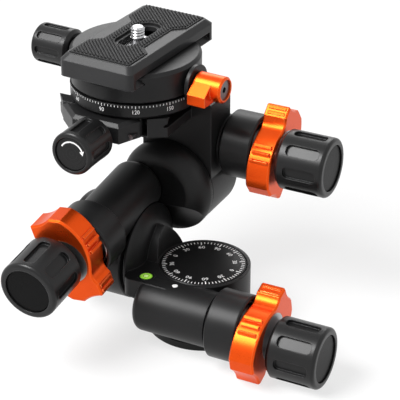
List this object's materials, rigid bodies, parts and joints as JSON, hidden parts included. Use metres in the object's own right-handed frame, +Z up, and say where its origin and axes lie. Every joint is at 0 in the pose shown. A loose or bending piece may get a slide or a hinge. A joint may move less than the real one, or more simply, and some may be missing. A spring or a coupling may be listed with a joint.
{
  "type": "panoramic tripod head",
  "caption": "Geared tripod head with worm-driven pan, tilt and roll stages, release rings, fluted knobs, a dovetail panning clamp with lever, and a camera plate.",
  "frame": {"origin": "on the pan axis in the plane of the base's underside, at the mouth of the tripod socket", "axes": "+Z up along the pan axis, +X along the pan knob's axis, -Y along the tilt knob's axis at rest"},
  "size_m": [0.1688, 0.1396, 0.1316],
  "materials": {
    "black_casting": "satin black anodised",
    "orange_anodised": "satin orange anodised",
    "knob_black": "satin black",
    "steel": "satin steel",
    "sleeve_alloy": "plain machined",
    "brass": "machined brass",
    "level_green": "clear green",
    "pad_rubber": "ribbed black rubber"
  },
  "bodies": {
    "base": {"base_plate": "black_casting", "pan_post": "steel", "pan_wheel": "brass", "pan_retainer": "steel", "pan_dial": "black_casting"},
    "pan_body": {"pan_housing": "black_casting", "pan_bush": "brass", "bubble_bezel": "black_casting", "bubble_vial": "level_green", "pan_collar": "black_casting", "pan_spring": "steel", "tilt_axle": "steel", "tilt_wheel": "brass", "tilt_retainer": "steel"},
    "tilt_body": {"tilt_housing": "black_casting", "tilt_end_cap": "black_casting", "tilt_collar": "black_casting", "tilt_spring": "steel", "roll_axle": "steel", "roll_wheel": "brass", "roll_retainer": "steel"},
    "roll_body": {"roll_housing": "black_casting", "roll_end_cap": "black_casting", "roll_collar": "black_casting", "roll_spring": "steel"},
    "lower_jaw": {"platform_jaw": "black_casting", "platform_jaw_pins": "steel"},
    "lower_lock": {"platform_jaw_screw": "steel", "platform_lock_knob": "knob_black", "platform_knob_cap": "knob_black"},
    "clamp_foot": {"clamp_base": "black_casting", "clamp_centre_bolt": "steel"},
    "clamp_top": {"clamp_body": "black_casting"},
    "upper_jaw": {"clamp_jaw": "black_casting", "clamp_jaw_pins": "steel"},
    "upper_lock": {"clamp_jaw_screw": "steel", "clamp_jaw_knob": "knob_black", "clamp_jaw_knob_cap": "knob_black"},
    "lever": {"clamp_lever": "orange_anodised", "clamp_lever_screw": "steel"},
    "plate": {"plate_body": "black_casting", "plate_pad": "pad_rubber"},
    "camera_bolt": {"camera_screw": "steel"},
    "pan_release": {"pan_sleeve": "sleeve_alloy", "pan_ring": "orange_anodised"},
    "pan_drive": {"pan_worm": "steel", "pan_knob": "knob_black", "pan_knob_cap": "knob_black"},
    "tilt_release": {"tilt_sleeve": "sleeve_alloy", "tilt_ring": "orange_anodised"},
    "tilt_drive": {"tilt_worm": "steel", "tilt_knob": "knob_black", "tilt_knob_cap": "knob_black"},
    "roll_release": {"roll_sleeve": "sleeve_alloy", "roll_ring": "orange_anodised"},
    "roll_drive": {"roll_worm": "steel", "roll_knob": "knob_black", "roll_knob_cap": "knob_black"}
  },
  "joints": [
    {"name": "pan", "type": "hinge", "parent": "base", "child": "pan_body", "pos_m": [0, 0, 0.0144], "axis": [0, 0, 1], "continuous": true},
    {"name": "tilt", "type": "hinge", "parent": "pan_body", "child": "tilt_body", "pos_m": [-0.0456, 0, 0.03], "axis": [1, 0, 0], "range_deg": [-30, 30]},
    {"name": "roll", "type": "hinge", "parent": "tilt_body", "child": "roll_body", "pos_m": [-0.03, 0.0382, 0.0537], "axis": [0, 1, 0], "range_deg": [-30, 30]},
    {"name": "pan_release_turn", "type": "hinge", "parent": "pan_body", "child": "pan_release", "pos_m": [0, -0.024, 0.0186], "axis": [-1, 0, 0], "range_deg": [0, 35], "stiffness_Nm_per_rad": 0.4},
    {"name": "pan_knob_turn", "type": "hinge", "parent": "pan_release", "child": "pan_drive", "pos_m": [0, -0.024, 0.0144], "axis": [1, 0, 0], "continuous": true},
    {"name": "tilt_release_turn", "type": "hinge", "parent": "tilt_body", "child": "tilt_release", "pos_m": [-0.0414, -0.00292, 0.05382], "axis": [0, 0.9925, 0.1219], "range_deg": [0, 35], "stiffness_Nm_per_rad": 0.4},
    {"name": "tilt_knob_turn", "type": "hinge", "parent": "tilt_release", "child": "tilt_drive", "pos_m": [-0.0456, -0.00292, 0.05382], "axis": [0, -0.9925, -0.1219], "range_deg": [-1800, 1800]},
    {"name": "roll_release_turn", "type": "hinge", "parent": "roll_body", "child": "roll_release", "pos_m": [-0.03, 0.0424, 0.07301], "axis": [-1, 0, 0], "range_deg": [0, 35], "stiffness_Nm_per_rad": 0.4},
    {"name": "roll_knob_turn", "type": "hinge", "parent": "roll_release", "child": "roll_drive", "pos_m": [-0.03, 0.0382, 0.07301], "axis": [1, 0, 0], "range_deg": [-1350, 1350]},
    {"name": "lower_jaw_slide", "type": "slide", "parent": "roll_body", "child": "lower_jaw", "axis": [0, -1, 0], "range_m": [0, 0.003]},
    {"name": "lower_lock_turn", "type": "hinge", "parent": "lower_jaw", "child": "lower_lock", "pos_m": [-0.0443, -0.03, 0.0941], "axis": [0, -1, 0], "range_deg": [0, 1350]},
    {"name": "foot_slide", "type": "slide", "parent": "roll_body", "child": "clamp_foot", "axis": [1, 0, 0], "range_m": [-0.006, 0.006]},
    {"name": "clamp_pan", "type": "hinge", "parent": "clamp_foot", "child": "clamp_top", "pos_m": [-0.0443, 0.0196, 0.106], "axis": [0, 0, 1], "continuous": true},
    {"name": "upper_jaw_slide", "type": "slide", "parent": "clamp_top", "child": "upper_jaw", "axis": [-0.9983, 0.0576, 0], "range_m": [0, 0.003]},
    {"name": "upper_lock_turn", "type": "hinge", "parent": "upper_jaw", "child": "upper_lock", "pos_m": [-0.08423, 0.0219, 0.1139], "axis": [-0.9983, 0.0576, 0], "range_deg": [0, 1350]},
    {"name": "lever_turn", "type": "hinge", "parent": "clamp_top", "child": "lever", "pos_m": [-0.00936, 0.01758, 0.1113], "axis": [0.9983, -0.0576, 0], "range_deg": [-20, 60]},
    {"name": "plate_slide", "type": "slide", "parent": "clamp_top", "child": "plate", "axis": [0.0576, 0.9983, 0], "range_m": [-0.008, 0.004]},
    {"name": "camera_screw_slide", "type": "slide", "parent": "plate", "child": "camera_bolt", "axis": [0.0576, 0.9983, 0], "range_m": [-0.0085, 0.0085]}
  ],
  "couplings": [
    {"joint": "pan_knob_turn", "follows": "pan", "ratio": 60},
    {"joint": "tilt_knob_turn", "follows": "tilt", "ratio": 60},
    {"joint": "roll_knob_turn", "follows": "roll", "ratio": 45},
    {"joint": "lower_lock_turn", "follows": "lower_jaw_slide", "rad_per_m": 7854},
    {"joint": "upper_lock_turn", "follows": "upper_jaw_slide", "rad_per_m": 7854}
  ]
}
